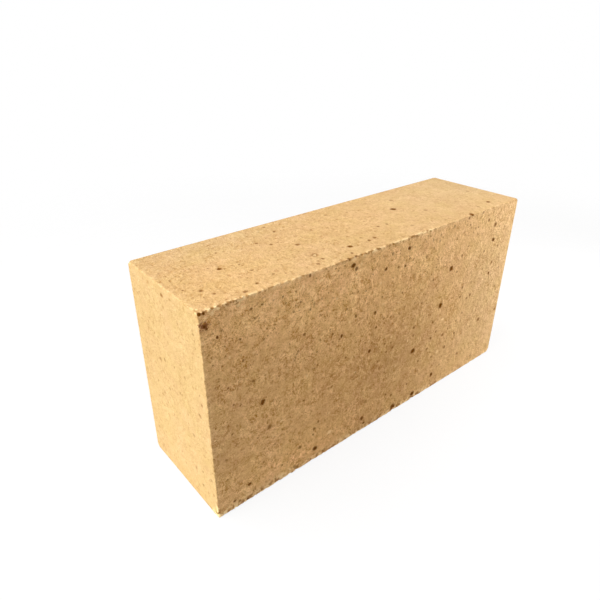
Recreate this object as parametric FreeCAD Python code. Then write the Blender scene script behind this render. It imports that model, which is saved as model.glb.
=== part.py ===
import FreeCAD, Part
import math
import os
from collections import namedtuple

# A dense refractory firebrick. It is pressed from fireclay and crushed grog in a steel
# mould and fired, so it is one solid piece: a plain straight brick with six flat faces.
#
# It stands on one long side. X runs along its length, Y through its thickness and Z up
# through its width, and the origin is the middle of the side that it stands on. The two
# bed faces, the largest, face -Y and +Y. The press closes along Y, so the outline of a bed
# face is the outline of the mould, and its four corners are the mould's own corners.

# Driving sizes, in millimetres.
LENGTH = 230.0
WIDTH = 115.0
THICKNESS = 65.0

# The corners of the outline, as round as the mould and later handling have left each.
TOP_LEFT_RADIUS = 0.6
TOP_RIGHT_RADIUS = 1.0
BOTTOM_RIGHT_RADIUS = 2.0
BOTTOM_LEFT_RADIUS = 0.7

# The sharp arris round each bed face, where the plungers met the mould.
ARRIS_RADIUS = 0.5

# A chip broken out of a long arris of the front bed face is a shell-shaped scoop. Its place
# is counted from the left end, or back from the right end where it is below zero. Its length
# lies along the arris, and its depth is taken from the sharp arris. Its lean is 45 degrees
# where it breaks both faces alike, and larger where it breaks more of the bed face.
Chip = namedtuple("Chip", "along length depth lean")
TOP_CHIPS = (
    Chip(along=8.5, length=2.6, depth=0.50, lean=52.0),
    Chip(along=13.5, length=2.2, depth=0.45, lean=45.0),
    Chip(along=57.0, length=2.6, depth=0.45, lean=60.0),
    Chip(along=87.0, length=5.0, depth=0.80, lean=45.0),
    Chip(along=-111.0, length=4.6, depth=0.60, lean=50.0),
    Chip(along=-89.0, length=5.0, depth=0.70, lean=58.0),
    Chip(along=-66.0, length=4.0, depth=0.80, lean=50.0),
)
BOTTOM_CHIPS = (
    Chip(along=17.0, length=2.6, depth=0.50, lean=55.0),
    Chip(along=64.5, length=3.0, depth=0.50, lean=55.0),
    Chip(along=-104.0, length=5.0, depth=0.70, lean=60.0),
    Chip(along=-86.0, length=4.6, depth=0.70, lean=60.0),
    Chip(along=-21.5, length=3.0, depth=0.50, lean=55.0),
)

# One corner is broken away in a scoop, part of a sphere. Others are worn blunt. Each figure
# is how far the damage reaches along the three arrises that meet at the corner.
BROKEN_CORNER_SCOOP_RADIUS = 4.0
FRONT_TOP_LEFT_BREAK = 1.5
BACK_TOP_LEFT_WEAR = 2.0
BACK_TOP_RIGHT_WEAR = 1.8
FRONT_TOP_RIGHT_WEAR = 1.6
FRONT_BOTTOM_RIGHT_WEAR = 2.6
BACK_BOTTOM_LEFT_WEAR = 2.2

LEFT, RIGHT = -LENGTH / 2, LENGTH / 2
FRONT, BACK = -THICKNESS / 2, THICKNESS / 2
BOTTOM, TOP = 0.0, WIDTH


def outline():
    """The outline of the mould in the plane of the front bed face, with round corners."""
    tl, tr = TOP_LEFT_RADIUS, TOP_RIGHT_RADIUS
    br, bl = BOTTOM_RIGHT_RADIUS, BOTTOM_LEFT_RADIUS

    def at(x, z):
        return FreeCAD.Vector(x, FRONT, z)

    def corner(centre_x, centre_z, radius, start):
        """A quarter of a circle, from start degrees round to start less 90."""
        points = []
        for turn in (0, 45, 90):
            angle = math.radians(start - turn)
            x = centre_x + radius * math.cos(angle)
            z = centre_z + radius * math.sin(angle)
            points.append(at(x, z))
        return Part.Arc(*points).toShape()

    edges = [
        Part.makeLine(at(LEFT, BOTTOM + bl), at(LEFT, TOP - tl)),
        corner(LEFT + tl, TOP - tl, tl, 180),
        Part.makeLine(at(LEFT + tl, TOP), at(RIGHT - tr, TOP)),
        corner(RIGHT - tr, TOP - tr, tr, 90),
        Part.makeLine(at(RIGHT, TOP - tr), at(RIGHT, BOTTOM + br)),
        corner(RIGHT - br, BOTTOM + br, br, 0),
        Part.makeLine(at(RIGHT - br, BOTTOM), at(LEFT + bl, BOTTOM)),
        corner(LEFT + bl, BOTTOM + bl, bl, -90),
    ]
    return Part.Wire(edges)


def pressed_brick():
    """The brick as it leaves the press: the outline through the thickness, with its arrises."""
    block = Part.Face(outline()).extrude(FreeCAD.Vector(0, THICKNESS, 0))
    arrises = [edge for edge in block.Edges if edge.BoundBox.YLength < THICKNESS / 2]
    return block.makeFillet(ARRIS_RADIUS, arrises)


def chip_scoop(chip, height, outward):
    """The sphere that breaks a chip from the front arris at that height, up or down."""
    radius = (chip.length**2 / 4 + chip.depth**2) / (2 * chip.depth)
    start = LEFT if chip.along >= 0 else RIGHT
    lean = math.radians(chip.lean)
    off = radius - chip.depth
    centre = FreeCAD.Vector(
        start + chip.along,
        FRONT - off * math.sin(lean),
        height + outward * off * math.cos(lean),
    )
    return Part.makeSphere(radius, centre)


def diagonal(x, y, z):
    """The way out through that corner, as a vector one long."""
    out = FreeCAD.Vector(math.copysign(1, x), math.copysign(1, y), 1 if z == TOP else -1)
    return out / math.sqrt(3)


def corner_scoop(x, y, z, reach):
    """The sphere that breaks a corner away, as far along each of its arrises as reach."""
    radius = BROKEN_CORNER_SCOOP_RADIUS
    off = math.sqrt(radius**2 - 2 * reach**2 / 3) - reach / math.sqrt(3)
    return Part.makeSphere(radius, FreeCAD.Vector(x, y, z) + diagonal(x, y, z) * off)


def corner_wear(x, y, z, reach):
    """The flat-ended plug that blunts a corner, as far along each of its arrises as reach."""
    out = diagonal(x, y, z)
    middle = FreeCAD.Vector(x, y, z) - out * (reach / math.sqrt(3))
    return Part.makeCylinder(2 * reach, 2 * reach, middle, out)


def firebrick():
    """The fired brick, with the chips and worn corners that handling has given it."""
    damage = [chip_scoop(chip, TOP, 1) for chip in TOP_CHIPS]
    damage += [chip_scoop(chip, BOTTOM, -1) for chip in BOTTOM_CHIPS]
    damage += [
        corner_scoop(LEFT, FRONT, TOP, FRONT_TOP_LEFT_BREAK),
        corner_wear(LEFT, BACK, TOP, BACK_TOP_LEFT_WEAR),
        corner_wear(RIGHT, BACK, TOP, BACK_TOP_RIGHT_WEAR),
        corner_wear(RIGHT, FRONT, TOP, FRONT_TOP_RIGHT_WEAR),
        corner_wear(RIGHT, FRONT, BOTTOM, FRONT_BOTTOM_RIGHT_WEAR),
        corner_wear(LEFT, BACK, BOTTOM, BACK_BOTTOM_LEFT_WEAR),
    ]
    return pressed_brick().cut(damage)


def main():
    os.makedirs("parts", exist_ok=True)
    brick = firebrick()
    if len(brick.Solids) != 1 or not brick.isValid():
        raise ValueError("the firebrick is not one valid solid")
    brick.Solids[0].exportStep("parts/firebrick.step")
    print("volume", round(brick.Volume / 1000, 2), "cm3")


main()
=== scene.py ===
import math
from collections import namedtuple

import bmesh
import bpy
import numpy as np
from mathutils import Matrix, Vector


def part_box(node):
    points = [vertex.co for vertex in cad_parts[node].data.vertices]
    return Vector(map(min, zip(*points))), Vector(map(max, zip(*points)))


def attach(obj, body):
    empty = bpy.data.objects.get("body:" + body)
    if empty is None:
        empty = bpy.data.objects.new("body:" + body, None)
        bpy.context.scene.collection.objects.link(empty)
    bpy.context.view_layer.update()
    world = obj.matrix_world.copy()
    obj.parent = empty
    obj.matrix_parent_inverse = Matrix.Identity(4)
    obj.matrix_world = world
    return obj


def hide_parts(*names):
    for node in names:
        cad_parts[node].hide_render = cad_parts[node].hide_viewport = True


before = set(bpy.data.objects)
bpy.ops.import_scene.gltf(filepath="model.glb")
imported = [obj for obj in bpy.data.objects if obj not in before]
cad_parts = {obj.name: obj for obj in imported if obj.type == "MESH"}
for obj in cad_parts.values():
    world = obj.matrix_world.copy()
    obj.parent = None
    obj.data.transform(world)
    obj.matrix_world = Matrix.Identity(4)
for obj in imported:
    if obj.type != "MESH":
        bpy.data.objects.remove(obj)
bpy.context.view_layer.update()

bl_info = {
    "name": "Refractory firebrick",
    "version": (1, 0, 0),
    "blender": (4, 5, 0),
    "location": "View3D > Sidebar > Firebrick",
    "description": "A dense refractory firebrick with crumbled arrises, on a pale studio floor",
    "category": "Add Mesh",
}

MM = 0.001

# Dark iron spots that the clay shows, listed one by one. Each is (along, up, radius, tone), in
# millimetres, where tone runs from 0, faint, to 1, nearly black.

# On the front bed face, along runs from the left end and up from the standing side.
FRONT_SPOTS = (
    (2.3, 108.0, 0.7, 0.95), (1.2, 109.6, 0.5, 0.6), (3.2, 106.9, 0.5, 0.6),
    (7.9, 101.2, 0.6, 0.9), (24.8, 108.2, 0.7, 0.6), (30.4, 108.2, 0.6, 0.6),
    (57.0, 113.7, 0.6, 0.7), (51.7, 102.0, 0.6, 0.6), (57.9, 96.3, 0.6, 0.6), (59.8, 98.3, 0.7, 0.3),
    (4.7, 88.5, 0.4, 0.6), (19.5, 84.7, 0.6, 0.6), (53.8, 84.0, 0.7, 0.6), (70.5, 80.2, 0.5, 0.6),
    (72.3, 77.0, 0.7, 0.7), (78.6, 73.5, 0.9, 0.9), (24.3, 71.4, 0.7, 0.6), (62.3, 71.0, 0.6, 0.6),
    (13.1, 63.5, 0.6, 0.6), (6.2, 64.8, 0.5, 0.6), (60.7, 61.4, 0.5, 0.6), (62.5, 62.8, 0.5, 0.6),
    (28.9, 57.1, 1.3, 0.9), (84.6, 110.6, 1.2, 0.9), (86.8, 108.2, 0.9, 0.7), (113.0, 109.1, 0.8, 0.4),
    (126.0, 108.8, 0.9, 0.9), (108.8, 102.0, 0.9, 0.9), (118.3, 100.0, 0.6, 0.6), (123.8, 99.1, 0.8, 0.7),
    (98.3, 104.6, 0.5, 0.6), (94.5, 93.8, 0.5, 0.6), (107.4, 85.9, 0.6, 0.6), (88.3, 81.6, 0.8, 0.6),
    (102.9, 78.0, 1.0, 0.9), (116.1, 71.0, 0.6, 0.6), (104.3, 68.4, 0.7, 0.9), (150.9, 82.3, 0.8, 0.6),
    (148.7, 86.4, 0.5, 0.6), (136.5, 72.4, 0.8, 0.3), (146.1, 108.0, 0.8, 0.3), (152.5, 106.0, 0.7, 0.3),
    (167.4, 84.6, 1.4, 0.95), (161.6, 61.8, 1.6, 0.95), (176.8, 90.7, 0.8, 0.6), (208.9, 92.6, 1.15, 0.95),
    (208.0, 102.8, 1.2, 0.7), (199.7, 107.6, 0.8, 0.95), (213.3, 100.5, 0.7, 0.35), (200.4, 86.9, 0.7, 0.6),
    (215.5, 86.8, 0.7, 0.6), (210.4, 68.8, 0.9, 0.95), (211.9, 76.2, 0.8, 0.6), (221.7, 69.4, 0.7, 0.6),
    (191.5, 68.3, 0.8, 0.3), (182.5, 67.5, 0.6, 0.6), (181.4, 61.0, 0.8, 0.6), (192.7, 58.8, 0.9, 0.6),
    (189.5, 57.6, 0.8, 0.6), (182.0, 95.2, 0.6, 0.6), (164.8, 111.6, 1.0, 0.3), (178.3, 113.6, 0.8, 0.6),
    (32.1, 40.1, 1.2, 0.6), (18.8, 10.6, 0.8, 0.9), (62.0, 7.9, 1.4, 0.9), (51.2, 15.2, 1.0, 0.6),
    (9.6, 5.4, 0.6, 0.9), (40.2, 33.7, 0.5, 0.6), (53.8, 45.0, 0.5, 0.6), (64.0, 25.8, 0.7, 0.6),
    (61.0, 22.2, 0.9, 0.6), (100.6, 54.9, 1.0, 0.9), (137.9, 55.5, 1.0, 0.6), (139.4, 38.5, 1.5, 0.95),
    (119.8, 49.1, 0.8, 0.6), (112.7, 54.5, 0.6, 0.6), (118.3, 53.2, 0.7, 0.6), (117.9, 16.4, 0.8, 0.6),
    (137.0, 15.0, 0.8, 0.6), (98.2, 9.0, 1.2, 0.8), (99.9, 4.8, 0.9, 0.85), (144.0, 4.2, 1.5, 0.95),
    (125.4, 3.6, 1.6, 0.8), (146.0, 28.3, 0.8, 0.6), (153.5, 34.1, 0.9, 0.6), (155.9, 40.6, 1.0, 0.6),
    (161.9, 10.7, 1.3, 0.95), (188.6, 15.8, 0.9, 0.6), (172.4, 27.5, 1.0, 0.6), (168.2, 38.7, 1.0, 0.6),
    (160.5, 43.8, 0.8, 0.6), (207.9, 34.8, 1.3, 0.6), (227.5, 35.9, 1.0, 0.6), (181.4, 34.8, 0.8, 0.6),
    (0.6, 114.5, 0.8, 0.95), (2.6, 114.3, 0.7, 0.95), (41.9, 108.4, 0.5, 0.6), (32.4, 95.8, 0.5, 0.6),
    (18.4, 95.7, 0.5, 0.6), (16.7, 61.3, 0.6, 0.6), (10.8, 73.8, 0.5, 0.6), (50.2, 76.3, 0.6, 0.4),
    (49.4, 74.8, 0.6, 0.4), (48.6, 73.4, 0.6, 0.45), (47.9, 72.1, 0.6, 0.4), (141.9, 99.2, 0.8, 0.5),
    (88.8, 95.2, 0.5, 0.6), (123.8, 83.0, 0.6, 0.6), (142.5, 70.2, 0.5, 0.6), (96.5, 61.8, 0.6, 0.6),
    (82.4, 58.7, 0.6, 0.6), (81.5, 87.8, 0.5, 0.6), (173.8, 80.5, 0.6, 0.6), (192.3, 113.6, 0.8, 0.6),
    (180.5, 108.9, 0.6, 0.6), (186.4, 105.3, 0.6, 0.6), (189.5, 105.3, 0.6, 0.6), (12.6, 3.4, 0.7, 0.4),
    (17.0, 1.3, 0.7, 0.8), (60.6, 18.6, 0.6, 0.6), (28.0, 19.4, 0.6, 0.6), (6.6, 21.9, 0.6, 0.6),
    (11.2, 47.6, 0.5, 0.6), (24.8, 37.2, 0.5, 0.6), (6.9, 34.3, 0.8, 0.35), (108.1, 44.6, 0.7, 0.6),
    (123.0, 13.5, 0.7, 0.6), (156.1, 52.2, 0.7, 0.6), (109.6, 39.3, 0.8, 0.35), (100.2, 20.3, 1.0, 0.35),
    (90.3, 45.2, 0.8, 0.35), (114.7, 48.4, 0.7, 0.6), (114.4, 34.2, 0.6, 0.6), (137.9, 49.8, 0.7, 0.6),
    (159.2, 25.8, 0.8, 0.6), (173.1, 41.2, 0.6, 0.6), (166.2, 33.1, 0.7, 0.35), (186.4, 48.0, 0.8, 0.35),
    (181.0, 43.8, 0.7, 0.35), (221.4, 55.8, 1.0, 0.35), (206.3, 6.5, 0.8, 0.35),
)
# Red-brown grains in the front bed face, as (along, up, radius).
FRONT_RUSTY = ((2.3, 108.2, 2.0), (3.9, 109.3, 0.9), (125.8, 3.2, 1.7))
# Pale grains of grog in the front bed face, as (along, up, radius).
FRONT_GRAINS = (
    (3.4, 111.6, 1.1), (6.5, 112.6, 1.0), (9.6, 113.6, 0.9), (12.8, 113.4, 0.8), (17.5, 113.6, 0.7),
    (5.0, 109.9, 0.7), (72.4, 13.5, 1.5), (39.7, 40.1, 1.2), (42.9, 14.1, 0.7), (24.0, 14.2, 0.8),
    (2.4, 48.2, 0.8), (33.8, 57.8, 0.7), (133.6, 48.1, 1.0), (166.0, 50.8, 1.2), (165.0, 27.0, 1.4),
    (189.5, 11.2, 0.8), (204.0, 66.1, 1.3), (195.6, 93.8, 0.8),
)
# On the upper side, along runs from the left end and up from the front arris.
UPPER_SPOTS = (
    (28.5, 29.8, 1.1, 0.9), (74.1, 29.6, 1.3, 0.6), (92.5, 11.1, 1.2, 0.9), (66.7, 5.2, 0.8, 0.6),
    (33.1, 7.0, 0.8, 0.6), (24.7, 3.7, 1.0, 0.6), (11.1, 16.0, 1.0, 0.6), (13.7, 10.2, 0.7, 0.6),
    (5.4, 21.3, 0.5, 0.6), (39.2, 19.2, 0.7, 0.6), (38.2, 28.2, 0.6, 0.6), (64.0, 38.2, 0.8, 0.6),
    (59.3, 44.2, 0.8, 0.6), (36.9, 46.7, 0.6, 0.6), (76.2, 51.4, 0.9, 0.6), (76.0, 60.5, 0.8, 0.6),
    (82.0, 0.5, 0.9, 0.6), (87.6, 4.5, 0.7, 0.6), (72.1, 8.2, 0.7, 0.6), (106.1, 10.6, 0.8, 0.6),
    (110.9, 11.5, 1.0, 0.6), (105.5, 15.8, 0.8, 0.3), (114.8, 53.9, 1.0, 0.3), (153.2, 36.1, 1.6, 0.9),
    (165.0, 48.3, 1.2, 0.35), (181.3, 1.1, 1.2, 0.9), (209.0, 8.1, 1.2, 0.9), (124.5, 21.7, 0.8, 0.6),
    (130.9, 21.2, 0.8, 0.6), (140.2, 10.7, 1.0, 0.3), (166.6, 22.7, 1.2, 0.3), (218.3, 29.7, 0.9, 0.3),
    (224.1, 50.2, 0.9, 0.3), (162.1, 5.3, 0.7, 0.3), (196.0, 6.6, 0.8, 0.3), (44.1, 9.9, 0.6, 0.5),
    (49.0, 7.0, 0.5, 0.5), (24.9, 33.5, 0.5, 0.5), (86.7, 0.5, 0.8, 0.6), (92.9, 41.1, 0.7, 0.3),
    (5.1, 42.5, 0.7, 0.3), (5.8, 33.5, 0.5, 0.5), (72.2, 14.3, 1.7, 0.5),
)
UPPER_GRAINS = (
    (72.2, 14.3, 0.9), (41.3, 49.2, 0.9), (4.5, 1.3, 0.8), (8.2, 0.9, 0.6), (1.6, 3.2, 0.7),
)
# On the left end, along runs from the back arris and up from the standing side.
LEFT_SPOTS = (
    (33.6, 110.1, 0.9, 0.56), (22.6, 71.3, 1.0, 0.35), (27.2, 73.3, 0.9, 0.35), (48.5, 41.8, 1.0, 0.28),
    (48.2, 9.1, 0.8, 0.21), (37.0, 74.3, 0.6, 0.35), (45.6, 101.5, 0.6, 0.35), (59.1, 102.6, 0.6, 0.35),
    (15.7, 55.0, 0.6, 0.35), (61.4, 22.9, 0.8, 0.35), (52.2, 12.4, 0.8, 0.35), (46.7, 19.8, 0.9, 0.35),
    (53.8, 22.2, 0.7, 0.35), (60.2, 66.9, 0.8, 0.35), (57.3, 59.1, 0.9, 0.35), (39.5, 61.2, 0.8, 0.35),
    (59.1, 71.7, 0.6, 0.35), (46.6, 73.9, 0.8, 0.21), (7.1, 19.0, 1.0, 0.21), (28.6, 57.1, 0.8, 0.35),
)
# Broad patches of painted light and shade on the clay, as (along, up, reach along, reach up, shade),
# where shade is what the patch adds to the clay's tone at its middle: more light, or less.
FRONT_PAINTED_LIGHTING = (
    (60, 115, 110, 28, 0.40), (190, 115, 60, 28, 0.18), (48, 3, 35, 13, 0.46), (118, 40, 45, 28, -0.26),
    (5, 42, 12, 22, -0.12), (171, 58, 16, 22, 0.12), (200, 3, 40, 14, 0.15), (229, 55, 14, 70, 0.10),
)
UPPER_PAINTED_LIGHTING = ((105, 40, 50, 20, 0.06), (190, 50, 45, 20, 0.05), (229, 30, 14, 45, -0.12))
# The colour of the painted light and shade, in the same way, where 1 is warm shade and -1 pale light.
FRONT_PAINTED_LIGHT_HUES = (
    (112, 45, 60, 40, 0.9), (230, 70, 42, 90, -1.1), (32, 0, 45, 12, -1.5), (115, 115, 120, 14, -0.5),
)
UPPER_PAINTED_LIGHT_HUES = ((22, 12, 32, 25, 0.8), (215, 45, 60, 40, -1.1), (35, 65, 50, 18, -0.9))
# How strongly the front bed face's two long arrises have crumbled, as (along, strength), and
# how strongly all the others have.
UPPER_ARRIS_WEAR = (
    (0, 1.4), (20, 1.2), (26, 0.6), (80, 0.6), (88, 1.3), (143, 1.3), (150, 0.4), (172, 0.15), (230, 0.1),
)
LOWER_ARRIS_WEAR = (
    (0, 1.4), (35, 1.5), (45, 1.9), (75, 1.6), (90, 1.1), (122, 1.4), (150, 1.4), (165, 0.8), (230, 0.6),
)
OTHER_ARRIS_WEAR = 0.15
# How coarse the clay is along the brick, as (along, share). Its right end has finer clay.
COARSENESS = ((0, 1.0), (110, 1.0), (165, 0.67), (230, 0.50))
# The same for the faces, in the order -X, +X, -Y, +Y, -Z and +Z. The plungers left the bed faces
# coarse and the mould's walls smoothed the others, but pores show in them all.
FACE_COARSENESS = (0.08, 0.08, 1.0, 1.0, 0.30, 0.30)
FACE_PORES = (1.6, 1.6, 1.0, 1.0, 0.42, 0.42)

# Lengths over which the surface changes, in metres.
WAVE_LENGTH = 0.035
GRAIN_SIZE = 0.0022
CRUMB_SIZE = 0.0011
WEAR_PATCH = 0.009
# How far the wear of the two long front arrises spreads from them, and of the marks on it.
UPPER_WEAR_REACH = 0.004
LOWER_WEAR_REACH = 0.0075
MARK_REACH = 0.0012
LOWER_MARK_REACH = 0.0025
# Chips reach this far from an arris, and within the second distance the triangles stay small.
CHIPPED_BAND = 0.0022
FINE_BAND = 0.0011
# The finishes of two faces blend over this length where they meet.
FACE_BLEND = 0.0008
# An iron spot's rim sways by this much, over this length, and this is how deep a full pit is.
RIM_SWAY = 0.00035
RIM_SWAY_LENGTH = 0.0013
PIT_DEPTH = 0.0011
# The six faces lie this far apart on the map.
MAP_GAP = 0.004


class FirebrickShape(bpy.types.PropertyGroup):
    """Sizes of the relief that is finer than the brick's own solid."""

    cell: bpy.props.FloatProperty(
        name="Cell", description="Size of the cells the surface is rebuilt from",
        default=0.0004, min=0.0002, unit="LENGTH", precision=5,
    )
    faces: bpy.props.IntProperty(
        name="Faces", description="Triangles that are left after the flat parts are simplified",
        default=190000, min=20000,
    )
    wave: bpy.props.FloatProperty(
        name="Wave", description="Depth of the slow waves in the flat faces",
        default=0.00006, min=0.0, unit="LENGTH", precision=5,
    )
    grain: bpy.props.FloatProperty(
        name="Grain", description="Depth of the grain in the flat faces",
        default=0.00005, min=0.0, unit="LENGTH", precision=5,
    )
    crumble: bpy.props.FloatProperty(
        name="Crumble", description="How deep the arrises have crumbled",
        default=0.00035, min=0.0, unit="LENGTH", precision=5,
    )
    nibble: bpy.props.FloatProperty(
        name="Nibble", description="Depth of a small chip in an arris, as a share of half its length",
        default=0.45, min=0.0, max=1.0, subtype="FACTOR",
    )
    crumble_reach: bpy.props.FloatProperty(
        name="Crumble reach", description="How far from an arris the crumbling reaches",
        default=0.0010, min=0.0001, unit="LENGTH", precision=5,
    )
    spot_depth: bpy.props.FloatProperty(
        name="Spot depth", description="Depth of an iron spot's pit, as a share of its radius",
        default=0.22, min=0.0, max=1.0, subtype="FACTOR",
    )
    spots_per_face: bpy.props.FloatProperty(
        name="Hidden spots", description="Iron spots per square centimetre of the faces that are not seen",
        default=0.5, min=0.0,
    )
    seed: bpy.props.IntProperty(
        name="Seed", description="Start of the random numbers", default=7,
    )


class FirebrickFinish(bpy.types.PropertyGroup):
    """Colours of the fired clay."""

    clay_light: bpy.props.FloatVectorProperty(
        name="Light clay", description="The lightest flecks of the fired clay", subtype="COLOR", size=3,
        default=(0.897, 0.615, 0.308), min=0.0, max=1.0,
    )
    clay_dark: bpy.props.FloatVectorProperty(
        name="Dark clay", description="The darkest flecks of the fired clay", subtype="COLOR", size=3,
        default=(0.395, 0.180, 0.035), min=0.0, max=1.0,
    )
    grog: bpy.props.FloatVectorProperty(
        name="Pale grog", description="Pale crushed grains in the clay", subtype="COLOR", size=3,
        default=(0.96, 0.71, 0.37), min=0.0, max=1.0,
    )
    rust: bpy.props.FloatVectorProperty(
        name="Rusty grog", description="Red-brown grains in the clay", subtype="COLOR", size=3,
        default=(0.42, 0.19, 0.06), min=0.0, max=1.0,
    )
    hematite: bpy.props.FloatVectorProperty(
        name="Red grains", description="The large red-brown grains", subtype="COLOR", size=3,
        default=(0.23, 0.072, 0.022), min=0.0, max=1.0,
    )
    iron: bpy.props.FloatVectorProperty(
        name="Iron", description="The darkest iron spots", subtype="COLOR", size=3,
        default=(0.165, 0.056, 0.004), min=0.0, max=1.0,
    )
    # Painted shade: the colour that darkens the pores and the hollows of a crumbled arris.
    pore_shade: bpy.props.FloatVectorProperty(
        name="Pores", description="The bottoms of the small pores", subtype="COLOR", size=3,
        default=(0.29, 0.110, 0.015), min=0.0, max=1.0,
    )
    fresh: bpy.props.FloatVectorProperty(
        name="Fresh break", description="Clay where an arris has crumbled", subtype="COLOR", size=3,
        default=(1.0, 0.74, 0.39), min=0.0, max=1.0,
    )
    roughness: bpy.props.FloatProperty(
        name="Roughness", description="How matt the clay is", default=0.9, min=0.0, max=1.0,
        subtype="FACTOR",
    )


class FirebrickStage(bpy.types.PropertyGroup):
    """Floor, lamps and camera."""

    azimuth: bpy.props.FloatProperty(
        name="Azimuth", description="The camera's bearing round the brick", subtype="ANGLE",
        default=math.radians(-39.69),
    )
    elevation: bpy.props.FloatProperty(
        name="Elevation", description="The camera's height above the horizon", subtype="ANGLE",
        default=math.radians(28.16),
    )
    distance: bpy.props.FloatProperty(
        name="Distance", description="From the camera to the aim point's plane", unit="LENGTH",
        default=0.3170,
    )
    shift: bpy.props.FloatVectorProperty(
        name="Shift", description="How far the camera stands to the right and up", subtype="XYZ",
        size=2, default=(-0.02828, 0.00992),
    )
    lens: bpy.props.FloatProperty(
        name="Lens", description="Focal length in millimetres on a 36 mm frame", default=31.67,
    )
    key: bpy.props.FloatProperty(
        name="Key", description="Power of the lamp at the left, in watts", default=7.75,
    )
    top: bpy.props.FloatProperty(
        name="Top", description="Power of the lamp above, in watts", default=13.9,
    )
    side: bpy.props.FloatProperty(
        name="Side", description="Power of the lamp at the front right, in watts", default=1.0,
    )
    sky: bpy.props.FloatVectorProperty(
        name="Sky", description="The even light all round", subtype="COLOR", size=3,
        default=(0.12, 0.06, 0.033), min=0.0, max=1.0,
    )
    floor: bpy.props.FloatVectorProperty(
        name="Floor", description="Colour of the floor", subtype="COLOR", size=3,
        default=(0.80, 0.80, 0.80), min=0.0, max=1.0,
    )
    floor_seen: bpy.props.FloatVectorProperty(
        name="Floor seen", description="The part of the floor's colour that light and shadow change",
        subtype="COLOR", size=3, default=(0.10, 0.10, 0.10), min=0.0, max=1.0,
    )
    glow: bpy.props.FloatProperty(
        name="Glow", description="How much of the floor's white the camera sees without light", default=0.88,
    )


def noise(points, cell, seed):
    """Smooth noise from -1 to 1 at the points, which changes over about one cell."""
    low = points.min(axis=0) - cell
    grid = (points - low) / cell
    size = np.ceil(grid.max(axis=0)).astype(int) + 2
    table = np.random.default_rng(seed).uniform(-1, 1, size).astype(np.float32)
    corner = np.floor(grid).astype(int)
    part = grid - corner
    part = part * part * (3 - 2 * part)
    total = np.zeros(len(points))
    for step in range(8):
        move = np.array([step & 1, step >> 1 & 1, step >> 2 & 1])
        weight = np.where(move, part, 1 - part).prod(axis=1)
        at = corner + move
        total += weight * table[at[:, 0], at[:, 1], at[:, 2]]
    return total


def layered(points, cell, seed, layers=3):
    """Noise with finer and weaker noise on top, from about -1 to 1."""
    total, weight, whole = 0.0, 1.0, 0.0
    for layer in range(layers):
        total = total + weight * noise(points, cell / 2**layer, seed + 31 * layer)
        whole += weight
        weight *= 0.55
    return total / whole * 1.5


def ramp(values, low, high):
    """0 below low, 1 above high and smooth between."""
    part = np.clip((values - low) / (high - low), 0, 1)
    return part * part * (3 - 2 * part)


def plane_distances(points, low, high):
    """How far each point is inside the six planes of the box: -X, +X, -Y, +Y, -Z, +Z."""
    return np.stack([
        points[:, 0] - low[0], high[0] - points[:, 0],
        points[:, 1] - low[1], high[1] - points[:, 1],
        points[:, 2] - low[2], high[2] - points[:, 2],
    ], axis=1)


def rebuilt_surface(node, cell):
    """A new mesh of even cells over the CAD node's own shape."""
    source = node.data.copy()
    whole = bmesh.new()
    whole.from_mesh(source)
    bmesh.ops.remove_doubles(whole, verts=whole.verts, dist=1e-6)
    whole.to_mesh(source)
    whole.free()
    helper = bpy.data.objects.new("surface_helper", source)
    bpy.context.scene.collection.objects.link(helper)
    remesh = helper.modifiers.new("remesh", "REMESH")
    remesh.mode = "VOXEL"
    remesh.voxel_size = cell
    remesh.adaptivity = 0.0
    graph = bpy.context.evaluated_depsgraph_get()
    mesh = bpy.data.meshes.new_from_object(helper.evaluated_get(graph))
    bpy.data.objects.remove(helper)
    bpy.data.meshes.remove(source)
    return mesh


def points_of(mesh):
    """The mesh's points, one row each."""
    flat = np.empty(len(mesh.vertices) * 3, np.float32)
    mesh.vertices.foreach_get("co", flat)
    return flat.reshape(-1, 3).astype(np.float64)


def normals_of(mesh):
    """The way out of the surface at each of the mesh's points."""
    flat = np.empty(len(mesh.vertices) * 3, np.float32)
    mesh.vertex_normals.foreach_get("vector", flat)
    return flat.reshape(-1, 3).astype(np.float64)


def front_point(low, along, up):
    """A place on the front bed face."""
    return (low[0] + along * MM, low[1], low[2] + up * MM)


def upper_point(low, high, along, up):
    """A place on the upper side."""
    return (low[0] + along * MM, low[1] + up * MM, high[2])


def left_point(low, high, along, up):
    """A place on the left end."""
    return (low[0], high[1] - along * MM, low[2] + up * MM)


def placed_grains(low, high, front, upper=()):
    """The grains of the front bed face and of the upper side, as (point, radius, tone) in metres."""
    grains = [(front_point(low, along, up), radius * MM, 1.0) for along, up, radius in front]
    grains += [(upper_point(low, high, along, up), radius * MM, 1.0) for along, up, radius in upper]
    return grains


def placed_spots(shape, low, high):
    """Every iron spot as (point, radius, tone) in metres: the visible faces', then the hidden ones'."""
    spots = []
    for along, up, radius, tone in FRONT_SPOTS:
        spots.append((front_point(low, along, up), radius * MM, tone))
    for along, up, radius, tone in UPPER_SPOTS:
        spots.append((upper_point(low, high, along, up), radius * MM, tone))
    for along, up, radius, tone in LEFT_SPOTS:
        spots.append((left_point(low, high, along, up), radius * MM, tone))
    random = np.random.default_rng(shape.seed)
    hidden = ((1, high[1]), (0, high[0]), (2, low[2]))
    for axis, level in hidden:
        others = [a for a in range(3) if a != axis]
        spans = [high[a] - low[a] for a in others]
        count = round(spans[0] * spans[1] * 1e4 * shape.spots_per_face)
        for _ in range(count):
            point = [0.0, 0.0, 0.0]
            point[axis] = level
            for a in others:
                point[a] = low[a] + random.uniform(0.01, 0.99) * (high[a] - low[a])
            radius = 0.45 + 0.9 * random.random() ** 2
            spots.append((tuple(point), radius * MM, random.uniform(0.3, 0.95)))
    return spots


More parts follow.
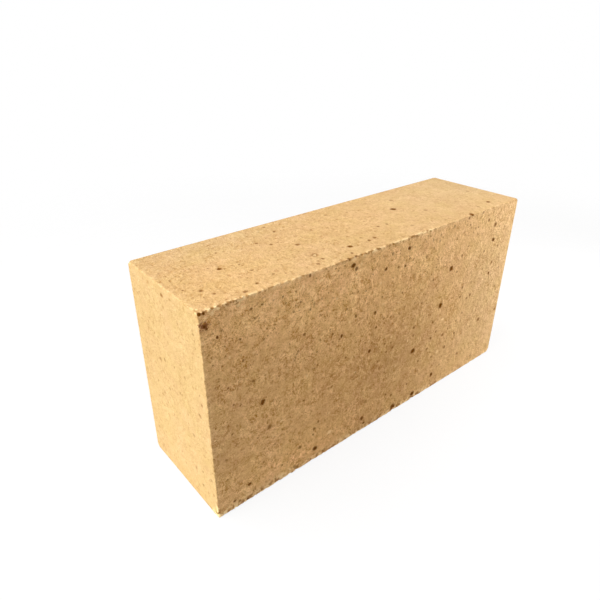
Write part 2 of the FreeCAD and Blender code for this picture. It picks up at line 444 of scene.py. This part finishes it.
def spot_fields(points, spots):
    """How deep in a spot each point is, and the spot's tone.

    The depth is 1 at a spot's middle, 0.5 at its rim and 0 well outside.
    """
    depth = np.zeros(len(points))
    tone = np.zeros(len(points))
    sway = np.stack([noise(points, RIM_SWAY_LENGTH, 9000 + axis) for axis in range(3)], axis=1)
    points = points + RIM_SWAY * sway
    for centre, radius, strength in spots:
        reach = 2 * radius
        away = np.abs(points - centre)
        near = np.flatnonzero((away[:, 0] < reach) & (away[:, 1] < reach) & (away[:, 2] < reach))
        value = 1 - np.linalg.norm(points[near] - centre, axis=1) / reach
        better = value > depth[near]
        depth[near[better]] = value[better]
        tone[near[better]] = strength
    return np.clip(depth, 0, 1), tone


def wear(along, front_upper, front_lower):
    """How worn an arris is at a place along it.

    The two numbers tell how near it is to the front's upper and lower arrises, from 0 to 1.
    """
    upper = np.interp(along, *zip(*UPPER_ARRIS_WEAR)) - OTHER_ARRIS_WEAR
    lower = np.interp(along, *zip(*LOWER_ARRIS_WEAR)) - OTHER_ARRIS_WEAR
    return OTHER_ARRIS_WEAR + front_upper * upper + front_lower * lower


def nibbles(shape, low, high):
    """Small chips along all the arrises, as (middle, radius) of the sphere that scoops each, in metres."""
    random = np.random.default_rng(shape.seed + 50)
    chips = []
    for run in range(3):
        across = [axis for axis in range(3) if axis != run]
        for sides in ((0, 0), (0, 1), (1, 0), (1, 1)):
            corner = np.array([0.0, 0.0, 0.0])
            outward = np.array([0.0, 0.0, 0.0])
            for axis, side in zip(across, sides):
                corner[axis] = (low, high)[side][axis]
                outward[axis] = (-1, 1)[side]
            place = low[run]
            while place < high[run]:
                along = (place - low[0]) / MM
                worn = wear(along, float(run == 0 and sides == (0, 1)), float(run == 0 and sides == (0, 0)))
                # Most chips are small, and a worn arris has larger ones, closer together.
                half = (0.30 + 0.75 * random.random() ** 2) * (0.45 + 0.62 * worn) * MM
                deep = 0.22 * MM + shape.nibble * half
                radius = (half**2 + deep**2) / (2 * deep)
                lean = outward * random.uniform(0.35, 1.0, 3)
                middle = corner + lean / np.linalg.norm(lean) * (radius - deep)
                middle[run] = place
                chips.append((middle, radius))
                place += random.exponential(0.0026) / (0.3 + worn) + 0.0003
    return chips


def scooped(points, moved, chips, arris):
    """The moved points pushed out of every chip's sphere, and 1 where a point lies in a chip."""
    chosen = np.flatnonzero(arris < CHIPPED_BAND)
    near = moved[chosen]
    hit = np.zeros(len(points))
    for middle, radius in chips:
        away = near - middle
        close = np.flatnonzero((np.abs(away) < radius).all(axis=1))
        distance = np.linalg.norm(away[close], axis=1)
        inside = close[distance < radius]
        if len(inside):
            length = np.linalg.norm(away[inside], axis=1)[:, None]
            near[inside] = middle + away[inside] / length * radius
            hit[chosen[inside]] = 1.0
    moved[chosen] = near
    return moved, hit


def relief(points, shape, low, high, spot):
    """How far each point goes in, in metres, and how worn it is by a crumbled arris."""
    inside = plane_distances(points, low, high)
    near = np.sort(inside, axis=1)
    arris = np.maximum(near[:, 1], 0)
    seed = shape.seed * 100
    wave = shape.wave * (1 + noise(points, WAVE_LENGTH, seed + 1)) / 2
    grain = shape.grain * (1 + layered(points, GRAIN_SIZE, seed + 2)) / 2
    left, _, front, _, bottom, top = inside.T
    upper = np.exp(-((np.hypot(front, top) / UPPER_WEAR_REACH) ** 2))
    lower = np.exp(-((np.hypot(front, bottom) / LOWER_WEAR_REACH) ** 2))
    worn = wear(left / MM, upper, lower) * (1 + 0.4 * noise(points, WEAR_PATCH, seed + 3))
    fall = np.exp(-((arris / shape.crumble_reach) ** 2))
    crumbs = np.abs(layered(points, CRUMB_SIZE, seed + 4))
    crumble = shape.crumble * worn * fall * ramp(crumbs, 0.15, 0.75)
    pits = shape.spot_depth * ramp(spot, 0.45, 0.85) * PIT_DEPTH
    reach = MARK_REACH + LOWER_MARK_REACH * lower * worn
    return wave + grain + crumble + pits, worn * np.exp(-((arris / reach) ** 2))


def face_shares(points, low, high):
    """How far each point belongs to each of the six faces, in the order of plane_distances."""
    weight = np.exp(-np.maximum(plane_distances(points, low, high), 0) / FACE_BLEND)
    return weight / (weight.sum(axis=1, keepdims=True) + 1e-9)


def coarseness(points, shares, low, faces):
    """How coarse the clay is, from a share for each of the six faces and from the place along the brick."""
    return shares @ np.array(faces) * np.interp((points[:, 0] - low[0]) / MM, *zip(*COARSENESS))


def patches(points, shares, low, front, upper):
    """What the broad patches of painted light and shade on the front bed face and the upper side add up to.
    """
    along, deep, up = ((points - low) / MM).T
    total = np.zeros(len(points))
    for face, second, table in ((2, up, front), (5, deep, upper)):
        for middle, level, reach, rise, shade in table:
            fall = np.exp(-(((along - middle) / reach) ** 2) - ((second - level) / rise) ** 2)
            total += shares[:, face] * shade * fall
    return total


def marked_body(mesh, shape, low, high):
    """The object of the worn and marked surface, with its plain points in a vertex group."""
    points = points_of(mesh)
    spot, tone = spot_fields(points, placed_spots(shape, low, high))
    grain, _ = spot_fields(points, placed_grains(low, high, FRONT_GRAINS, UPPER_GRAINS))
    rusty, _ = spot_fields(points, placed_grains(low, high, FRONT_RUSTY))
    inward, worn = relief(points, shape, low, high, spot)
    arris = np.sort(plane_distances(points, low, high), axis=1)[:, 1]
    moved = points - normals_of(mesh) * inward[:, None]
    moved, hit = scooped(points, moved, nibbles(shape, low, high), arris)
    worn = np.maximum(worn, 0.7 * hit)
    moved = np.clip(moved, low, high)
    mesh.vertices.foreach_set("co", moved.astype(np.float32).ravel())
    shares = face_shares(points, low, high)
    fields = {
        "iron_spot": spot,
        "iron_tone": tone,
        "pale_grain": grain,
        "rusty_grain": rusty,
        "crumbled": worn,
        "coarse": coarseness(points, shares, low, FACE_COARSENESS),
        "porous": np.sqrt(coarseness(points, shares, low, FACE_PORES)),
        # Broad painted light and shade, and the colour of that light and shade.
        "painted_lighting": patches(points, shares, low, FRONT_PAINTED_LIGHTING, UPPER_PAINTED_LIGHTING),
        "painted_light_hue": patches(points, shares, low, FRONT_PAINTED_LIGHT_HUES, UPPER_PAINTED_LIGHT_HUES),
    }
    for name, values in fields.items():
        mesh.attributes.new(name, "FLOAT", "POINT").data.foreach_set("value", values.astype(np.float32))
    mesh.update()
    body = bpy.data.objects.new("brick", mesh)
    bpy.context.scene.collection.objects.link(body)
    keep = (spot > 0.22) | (arris < FINE_BAND)
    plain = body.vertex_groups.new(name="plain")
    plain.add(np.flatnonzero(~keep).tolist(), 1.0, "REPLACE")
    plain.add(np.flatnonzero(keep).tolist(), 0.0, "REPLACE")
    return body


def simplified(body, faces):
    """The body's mesh with its plain parts collapsed to about that many triangles."""
    mesh = body.data
    triangles = len(mesh.polygons) * 2
    collapse = body.modifiers.new("collapse", "DECIMATE")
    collapse.ratio = min(1.0, faces / triangles)
    collapse.vertex_group = "plain"
    collapse.vertex_group_factor = 1.0
    collapse.use_collapse_triangulate = True
    graph = bpy.context.evaluated_depsgraph_get()
    made = bpy.data.meshes.new_from_object(body.evaluated_get(graph))
    body.modifiers.clear()
    body.data = made
    bpy.data.meshes.remove(mesh)
    body.vertex_groups.clear()
    return made


def flat_map(mesh, low, high):
    """Lays the six faces out side by side on one map, at one scale."""
    points = points_of(mesh)
    count = len(mesh.polygons)
    middle = np.empty(count * 3, np.float32)
    mesh.polygons.foreach_get("center", middle)
    facing = np.empty(count * 3, np.float32)
    mesh.polygons.foreach_get("normal", facing)
    middle, facing = middle.reshape(-1, 3), facing.reshape(-1, 3)
    inside = plane_distances(middle, low, high)
    out = np.stack([sign * facing[:, axis] for axis in range(3) for sign in (-1, 1)], axis=1)
    # A triangle goes to the side that it faces, if it lies near it, and the nearer side if it can choose.
    far = -9.0
    side = np.argmax(np.where(inside < 0.004, out, far) - inside * 150, axis=1)
    length, thick, width = (high[a] - low[a] for a in range(3))
    gap = MAP_GAP
    whole = length + 2 * thick + 4 * gap
    corner = {
        2: (gap, gap), 3: (gap, width + 2 * gap),
        4: (length + 2 * gap, gap), 5: (length + thick + 3 * gap, gap),
        0: (gap, 2 * width + 3 * gap), 1: (width + 2 * gap, 2 * width + 3 * gap),
    }
    axes = {0: (2, 1), 1: (2, 1), 2: (0, 2), 3: (0, 2), 4: (1, 0), 5: (1, 0)}
    loops = np.empty(len(mesh.loops), np.int32)
    mesh.loops.foreach_get("vertex_index", loops)
    totals = np.empty(count, np.int32)
    mesh.polygons.foreach_get("loop_total", totals)
    loop_side = np.repeat(side, totals)
    place = points[loops]
    spread = np.empty((len(loops), 2))
    for index, (first, second) in axes.items():
        chosen = loop_side == index
        spread[chosen, 0] = place[chosen, first] - low[first] + corner[index][0]
        spread[chosen, 1] = place[chosen, second] - low[second] + corner[index][1]
    layer = mesh.uv_layers.new(name="OFBake")
    layer.data.foreach_set("uv", (spread / whole).astype(np.float32).ravel())


class Nodes:
    """A short way to write a node tree."""

    def __init__(self, tree):
        self.tree = tree
        tree.nodes.clear()

    def feed(self, socket, value):
        """Links an output to the socket, or sets the socket's own value."""
        if isinstance(value, bpy.types.NodeSocket):
            self.tree.links.new(value, socket)
        else:
            socket.default_value = value

    def add(self, kind, inputs=None, **settings):
        """A node of that kind, with its settings and inputs."""
        node = self.tree.nodes.new(kind)
        for key, value in settings.items():
            setattr(node, key, value)
        for key, value in (inputs or {}).items():
            self.feed(node.inputs[key], value)
        return node

    def math(self, operation, first, second=0.0, clamp=False):
        node = self.add("ShaderNodeMath", {0: first, 1: second}, operation=operation, use_clamp=clamp)
        return node.outputs[0]

    def plus(self, first, second, clamp=False):
        return self.math("ADD", first, second, clamp)

    def times(self, first, second, clamp=False):
        return self.math("MULTIPLY", first, second, clamp)

    def swing(self, noise, amount):
        """How far a noise is from its middle, times that amount."""
        return self.times(self.math("SUBTRACT", noise, 0.5), amount)

    def ramp(self, value, start, end):
        """0 before the start, 1 past the end and smooth between. The end may lie below the start."""
        return self.add(
            "ShaderNodeMapRange", {"Value": value, "From Min": start, "From Max": end},
            interpolation_type="SMOOTHSTEP",
        ).outputs["Result"]

    def mix(self, part, first, second):
        """The first colour where the part is 0 and the second where it is 1."""
        node = self.add("ShaderNodeMix", {0: part}, data_type="RGBA")
        for key, colour in ((6, first), (7, second)):
            linked = isinstance(colour, bpy.types.NodeSocket)
            self.feed(node.inputs[key], colour if linked else (*colour, 1.0))
        return node.outputs[2]

    def tinted(self, colour, tint):
        """The colour with each of its parts times that of the tint."""
        inputs = {0: 1.0, 6: colour, 7: tint}
        return self.add("ShaderNodeMix", inputs, data_type="RGBA", blend_type="MULTIPLY").outputs[2]

    def colour(self, red, green, blue):
        return self.add("ShaderNodeCombineColor", {0: red, 1: green, 2: blue}).outputs[0]

    def parts(self, colour):
        """The three parts of a colour, as outputs."""
        return self.add("ShaderNodeSeparateColor", {0: colour}).outputs

    def field(self, name):
        """The values that the mesh holds under that name."""
        return self.add("ShaderNodeAttribute", attribute_name=name).outputs["Fac"]

    def noise(self, place, size, detail, roughness):
        """Noise that repeats over about that size, in millimetres."""
        return self.add(
            "ShaderNodeTexNoise",
            {"Vector": place, "Scale": 1 / (size * MM), "Detail": detail, "Roughness": roughness},
        ).outputs[0]

    def cells(self, place, size):
        """Cells of that size, in millimetres, each with a colour of its own."""
        return self.add("ShaderNodeTexVoronoi", {"Vector": place, "Scale": 1 / (size * MM)}).outputs

    def seen(self):
        """1 for what the camera sees straight, in a reflection or through glass."""
        path = self.add("ShaderNodeLightPath").outputs
        seen = self.math("MAXIMUM", path["Is Camera Ray"], path["Is Glossy Ray"])
        return self.math("MAXIMUM", seen, path["Is Transmission Ray"])


# The noises that the steps of the clay share, from the broadest to the finest.
Grit = namedtuple("Grit", "mottle clump crumb fine dust")


def clay_tone(n, place, finish, coarse, grit):
    """The clay's colour: slow clouds, a mottle, then fine dark and light flecks, under painted light and
    shade.
    """
    flecks = n.plus(n.swing(grit.clump, 1.15), n.swing(grit.fine, 1.6))
    flecks = n.plus(flecks, n.swing(grit.dust, 1.6))
    patchy = n.plus(0.55, n.times(n.ramp(n.noise(place, 9.0, 2.0, 0.5), 0.35, 0.65), 0.6))
    share = n.plus(0.16, n.times(n.math("POWER", coarse, 0.7), 0.84))
    level = n.times(n.times(flecks, patchy), share)
    level = n.plus(level, n.swing(n.noise(place, 42.0, 2.0, 0.5), 0.15))
    level = n.plus(level, n.swing(grit.mottle, 0.35))
    level = n.plus(level, 0.53, clamp=True)
    colour = n.mix(level, finish.clay_dark, finish.clay_light)
    # Painted light and shade: broad patches of the clay made lighter or darker.
    shade = n.plus(1.0, n.times(n.field("painted_lighting"), 0.72))
    return n.tinted(colour, n.colour(shade, shade, shade))


def with_hues(n, place, colour, coarse):
    """The clay pinker in some places and more olive in others in small patches, with the colour of painted
    light and shade.
    """
    hue = n.plus(n.swing(n.noise(place, 12.0, 3.0, 0.6), 2.0), 0.5, clamp=True)
    colour = n.tinted(colour, n.mix(hue, (1.014, 0.984, 1.04), (0.992, 1.006, 0.94)))
    # Painted light colour: warmer where the broad patches stand for shade, paler where they stand for light.
    painted_light_hue = n.field("painted_light_hue")
    red = n.plus(1.0, n.times(painted_light_hue, 0.035))
    blue = n.plus(1.0, n.times(painted_light_hue, -0.06))
    colour = n.tinted(colour, n.colour(red, 1.0, blue))
    # Painted shade and light colour: the coarse faces, such as the shaded front bed face, are tinted
    # redder, and the smooth ones, such as the lit left end, bluer.
    return n.tinted(colour, n.mix(coarse, (0.935, 1.0, 1.075), (1.023, 1.0, 0.965)))


def with_grog(n, place, finish, colour, coarse, grit):
    """Crushed grog: a few cells in a hundred hold a pale grain, and a few a rusty one."""
    cells = n.cells(place, 3.1)
    pick = n.parts(cells["Color"])
    edge = n.plus(cells["Distance"], n.swing(grit.fine, 0.9))
    edge = n.plus(edge, n.times(pick[1], 0.20))
    body = n.math("SUBTRACT", 1.0, n.ramp(edge, 0.24, 0.42))
    pale = n.times(n.times(body, coarse), n.ramp(pick[0], 0.93, 0.97))
    rusty = n.times(body, n.math("SUBTRACT", 1.0, n.ramp(pick[0], 0.06, 0.12)))
    colour = n.mix(n.times(pale, 0.55), colour, finish.grog)
    return n.mix(n.times(rusty, 0.40), colour, finish.rust)


def pores(n, place, grit):
    """How deep in one of the pores each place is: many fine ones and a few larger."""
    hole = 0.0
    for spacing, reach, chosen in ((2.0, 0.32, 0.65), (4.2, 0.26, 0.50)):
        cells = n.cells(place, spacing)
        rim = n.plus(cells["Distance"], n.swing(grit.dust, 0.4))
        pit = n.math("SUBTRACT", 1.0, n.ramp(rim, reach - 0.18, reach))
        pit = n.times(pit, n.ramp(n.parts(cells["Color"])[0], chosen, 1.0))
        hole = n.math("MAXIMUM", hole, pit)
    return n.times(hole, n.field("porous"))


def with_crumbs(n, finish, colour, broken, grit):
    """A crumbled arris: fresh, paler clay between little hollows darkened with painted shade."""
    bare = n.times(broken, n.ramp(grit.crumb, 0.50, 0.55), clamp=True)
    colour = n.mix(n.times(bare, 0.95), colour, finish.fresh)
    # Painted shade in the hollows between the crumbs.
    hollow_shade = n.times(broken, n.ramp(grit.crumb, 0.44, 0.38), clamp=True)
    return n.mix(n.times(hollow_shade, 0.60), colour, finish.pore_shade)


def with_marks(n, finish, colour, grit):
    """The grains and iron spots that the mesh marks, each with a ragged rim."""
    rusty = n.plus(n.field("rusty_grain"), n.swing(grit.fine, 1.8))
    colour = n.mix(n.times(n.ramp(rusty, 0.36, 0.68), 0.90), colour, finish.hematite)
    # An iron spot has a dark middle and a stained rim.
    tone = n.field("iron_tone")
    spot = n.plus(n.field("iron_spot"), n.swing(grit.fine, 0.8))
    stain = n.times(n.ramp(spot, 0.16, 0.54), n.times(tone, 0.5))
    colour = n.mix(stain, colour, finish.rust)
    core = n.times(n.ramp(spot, 0.31, 0.65), n.times(tone, 1.07), clamp=True)
    colour = n.mix(core, colour, finish.iron)
    pale = n.plus(n.field("pale_grain"), n.swing(grit.fine, 0.9))
    return n.mix(n.times(n.ramp(pale, 0.40, 0.62), 0.72), colour, finish.grog)


def clay_height(n, coarse, broken, hole, grit):
    """How far the fine relief stands out, in metres."""
    height = n.swing(grit.fine, 0.00070)
    for noise, depth in ((grit.clump, 0.00078), (grit.mottle, 0.00090), (grit.dust, 0.00030)):
        height = n.plus(height, n.swing(noise, depth))
    height = n.plus(height, n.times(hole, -0.00010))
    height = n.times(height, n.plus(0.45, n.times(coarse, 1.35)))
    return n.plus(height, n.times(n.swing(grit.crumb, 0.0013), n.math("MINIMUM", broken, 1.0)))


def clay_material(finish):
    """Buff fired clay with grog, rusty grains, pores and iron spots."""
    material = bpy.data.materials.new("fired_clay")
    material.use_nodes = True
    n = Nodes(material.node_tree)
    place = n.add("ShaderNodeTexCoord").outputs["Object"]
    coarse = n.field("coarse")
    broken = n.field("crumbled")
    grit = Grit(
        mottle=n.noise(place, 7.0, 3.0, 0.6),
        clump=n.noise(place, 2.6, 2.0, 0.5),
        crumb=n.noise(place, 2.1, 1.0, 0.5),
        fine=n.noise(place, 1.25, 3.0, 0.65),
        dust=n.noise(place, 0.60, 2.0, 0.6),
    )
    colour = clay_tone(n, place, finish, coarse, grit)
    colour = with_hues(n, place, colour, coarse)
    colour = with_grog(n, place, finish, colour, coarse, grit)
    hole = pores(n, place, grit)
    # Painted shade darkens the pores.
    colour = n.mix(n.times(hole, 0.75, clamp=True), colour, finish.pore_shade)
    colour = with_crumbs(n, finish, colour, broken, grit)
    colour = with_marks(n, finish, colour, grit)
    height = clay_height(n, coarse, broken, hole, grit)
    bump = n.add("ShaderNodeBump", {"Height": height, "Distance": 1.0, "Strength": 1.0})
    rough = n.plus(finish.roughness - 0.04, n.times(grit.fine, 0.08))
    shader = n.add("ShaderNodeBsdfPrincipled", {
        "Base Color": colour, "Roughness": rough, "Normal": bump.outputs[0],
        "Specular IOR Level": 0.06,
    })
    n.add("ShaderNodeOutputMaterial", {"Surface": shader.outputs[0]})
    return material


class FIREBRICK_OT_brick(bpy.types.Operator):
    """Model the brick's surface over its solid, with crumbled arrises and iron spots"""

    bl_idname = "firebrick.brick"
    bl_label = "Model the brick"

    def execute(self, context):
        shape = context.scene.firebrick_shape
        low, high = (np.array(corner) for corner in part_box("firebrick"))
        cell = shape.cell * 1
        mesh = rebuilt_surface(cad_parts["firebrick"], cell)
        if not mesh.polygons:
            raise RuntimeError("the brick's surface came out empty")
        body = marked_body(mesh, shape, low, high)
        made = simplified(body, shape.faces)
        made.name = "brick"
        made.polygons.foreach_set("use_smooth", np.ones(len(made.polygons), bool))
        flat_map(made, low, high)
        made.materials.clear()
        made.materials.append(clay_material(context.scene.firebrick_finish))
        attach(body, "root")
        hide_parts("firebrick")
        print("brick", len(made.vertices), "vertices", len(made.polygons), "faces")
        return {"FINISHED"}


# The stage's fixed places and lengths, in metres. Past its fade the floor is clear.
FLOOR_HALF = 1.2
FLOOR_DROP = 0.0001
FLOOR_FADE = (0.28, 0.60)
CAMERA_AIM = (0.0, 0.0, 0.057)
LAMP_AIM = (0.0, 0.0, 0.055)
SIDE_AIM = (0.10, -0.03, 0.08)


def area_lamp(name, place, aim, power, size, colour):
    """Hangs a square soft box at a place, turned to its aim point."""
    data = bpy.data.lights.new(name, "AREA")
    data.energy = power
    data.shape = "SQUARE"
    data.size = size
    data.color = colour
    lamp = bpy.data.objects.new(name, data)
    lamp.location = place
    lamp.rotation_euler = (Vector(aim) - Vector(place)).to_track_quat("-Z", "Y").to_euler()
    lamp.visible_camera = False
    bpy.context.scene.collection.objects.link(lamp)


class FIREBRICK_OT_stage(bpy.types.Operator):
    """Set up the floor, the lamps and the camera"""

    bl_idname = "firebrick.stage"
    bl_label = "Set the stage"

    def execute(self, context):
        stage = context.scene.firebrick_stage
        self.lay_floor(stage)
        self.hang_lamps(stage)
        self.light_sky(context.scene, stage)
        self.place_camera(context.scene, stage)
        context.scene.view_settings.view_transform = "Standard"
        return {"FINISHED"}

    def lay_floor(self, stage):
        """A white floor that shows the camera little but the brick's shadow."""
        half = FLOOR_HALF
        corners = [(-half, -half, 0), (half, -half, 0), (half, half, 0), (-half, half, 0)]
        mesh = bpy.data.meshes.new("floor")
        mesh.from_pydata(corners, [], [(0, 1, 2, 3)])
        floor = bpy.data.objects.new("floor", mesh)
        floor.location.z = -FLOOR_DROP
        bpy.context.scene.collection.objects.link(floor)
        paper = bpy.data.materials.new("paper")
        paper.use_nodes = True
        n = Nodes(paper.node_tree)
        place = n.add("ShaderNodeTexCoord").outputs["Object"]
        away = n.add("ShaderNodeVectorMath", {0: place}, operation="LENGTH").outputs["Value"]
        seen = n.seen()
        matt = n.add("ShaderNodeBsdfDiffuse", {"Color": n.mix(seen, stage.floor, stage.floor_seen)})
        glow = n.add("ShaderNodeEmission", {"Strength": n.times(seen, stage.glow)})
        lit = n.add("ShaderNodeAddShader", {0: matt.outputs[0], 1: glow.outputs[0]})
        clear = n.add("ShaderNodeBsdfTransparent")
        fade = n.ramp(away, *FLOOR_FADE)
        both = n.add("ShaderNodeMixShader", {0: fade, 1: lit.outputs[0], 2: clear.outputs[0]})
        n.add("ShaderNodeOutputMaterial", {"Surface": both.outputs[0]})
        mesh.materials.append(paper)

    def hang_lamps(self, stage):
        area_lamp("key_lamp", (-1.0, -0.10, 0.35), LAMP_AIM, stage.key, 0.6, (0.91, 1.0, 0.93))
        area_lamp("top_lamp", (-0.45, 0.25, 0.95), LAMP_AIM, stage.top, 0.8, (0.93, 0.96, 1.0))
        area_lamp("side_lamp", (0.30, -0.15, 0.18), SIDE_AIM, stage.side, 0.12, (0.93, 0.95, 0.97))

    def light_sky(self, scene, stage):
        """An even light all round, which the camera sees as white."""
        world = bpy.data.worlds.new("studio")
        world.use_nodes = True
        scene.world = world
        n = Nodes(world.node_tree)
        even = n.add("ShaderNodeBackground", {"Color": (*stage.sky, 1.0), "Strength": 1.0})
        white = n.add("ShaderNodeBackground", {"Color": (1, 1, 1, 1), "Strength": 1.0})
        both = n.add("ShaderNodeMixShader", {0: n.seen(), 1: even.outputs[0], 2: white.outputs[0]})
        n.add("ShaderNodeOutputWorld", {"Surface": both.outputs[0]})

    def place_camera(self, scene, stage):
        """The camera where the photograph was taken from, moved aside with its axis kept."""
        a, e = stage.azimuth, stage.elevation
        back = Vector((math.sin(a) * math.cos(e), -math.cos(a) * math.cos(e), math.sin(e)))
        right = Vector((math.cos(a), math.sin(a), 0.0))
        up = back.cross(right)
        place = Vector(CAMERA_AIM) + back * stage.distance + right * stage.shift[0] + up * stage.shift[1]
        data = bpy.data.cameras.new("camera")
        data.sensor_width = 36.0
        data.lens = stage.lens
        data.clip_start = 0.01
        camera = bpy.data.objects.new("camera", data)
        camera.matrix_world = Matrix.Translation(place) @ Matrix((right, up, back)).transposed().to_4x4()
        scene.collection.objects.link(camera)
        scene.camera = camera


class FIREBRICK_PT_panel(bpy.types.Panel):
    """The brick's settings and the steps that build it"""

    bl_idname = "FIREBRICK_PT_panel"
    bl_label = "Firebrick"
    bl_space_type = "VIEW_3D"
    bl_region_type = "UI"
    bl_category = "Firebrick"

    def draw(self, context):
        for settings in SETTINGS:
            group = getattr(context.scene, settings)
            box = self.layout.box()
            for name in group.__annotations__:
                box.prop(group, name)
        self.layout.operator(FIREBRICK_OT_brick.bl_idname)
        self.layout.operator(FIREBRICK_OT_stage.bl_idname)


SETTINGS = {
    "firebrick_shape": FirebrickShape,
    "firebrick_finish": FirebrickFinish,
    "firebrick_stage": FirebrickStage,
}
CLASSES = (*SETTINGS.values(), FIREBRICK_OT_brick, FIREBRICK_OT_stage, FIREBRICK_PT_panel)


def register():
    for cls in CLASSES:
        bpy.utils.register_class(cls)
    for name, settings in SETTINGS.items():
        setattr(bpy.types.Scene, name, bpy.props.PointerProperty(type=settings))


def unregister():
    for name in SETTINGS:
        delattr(bpy.types.Scene, name)
    for cls in reversed(CLASSES):
        bpy.utils.unregister_class(cls)


def main():
    """Builds the brick and the stage."""
    register()
    bpy.ops.firebrick.brick()
    bpy.ops.firebrick.stage()


if __name__ == "__main__":
    main()
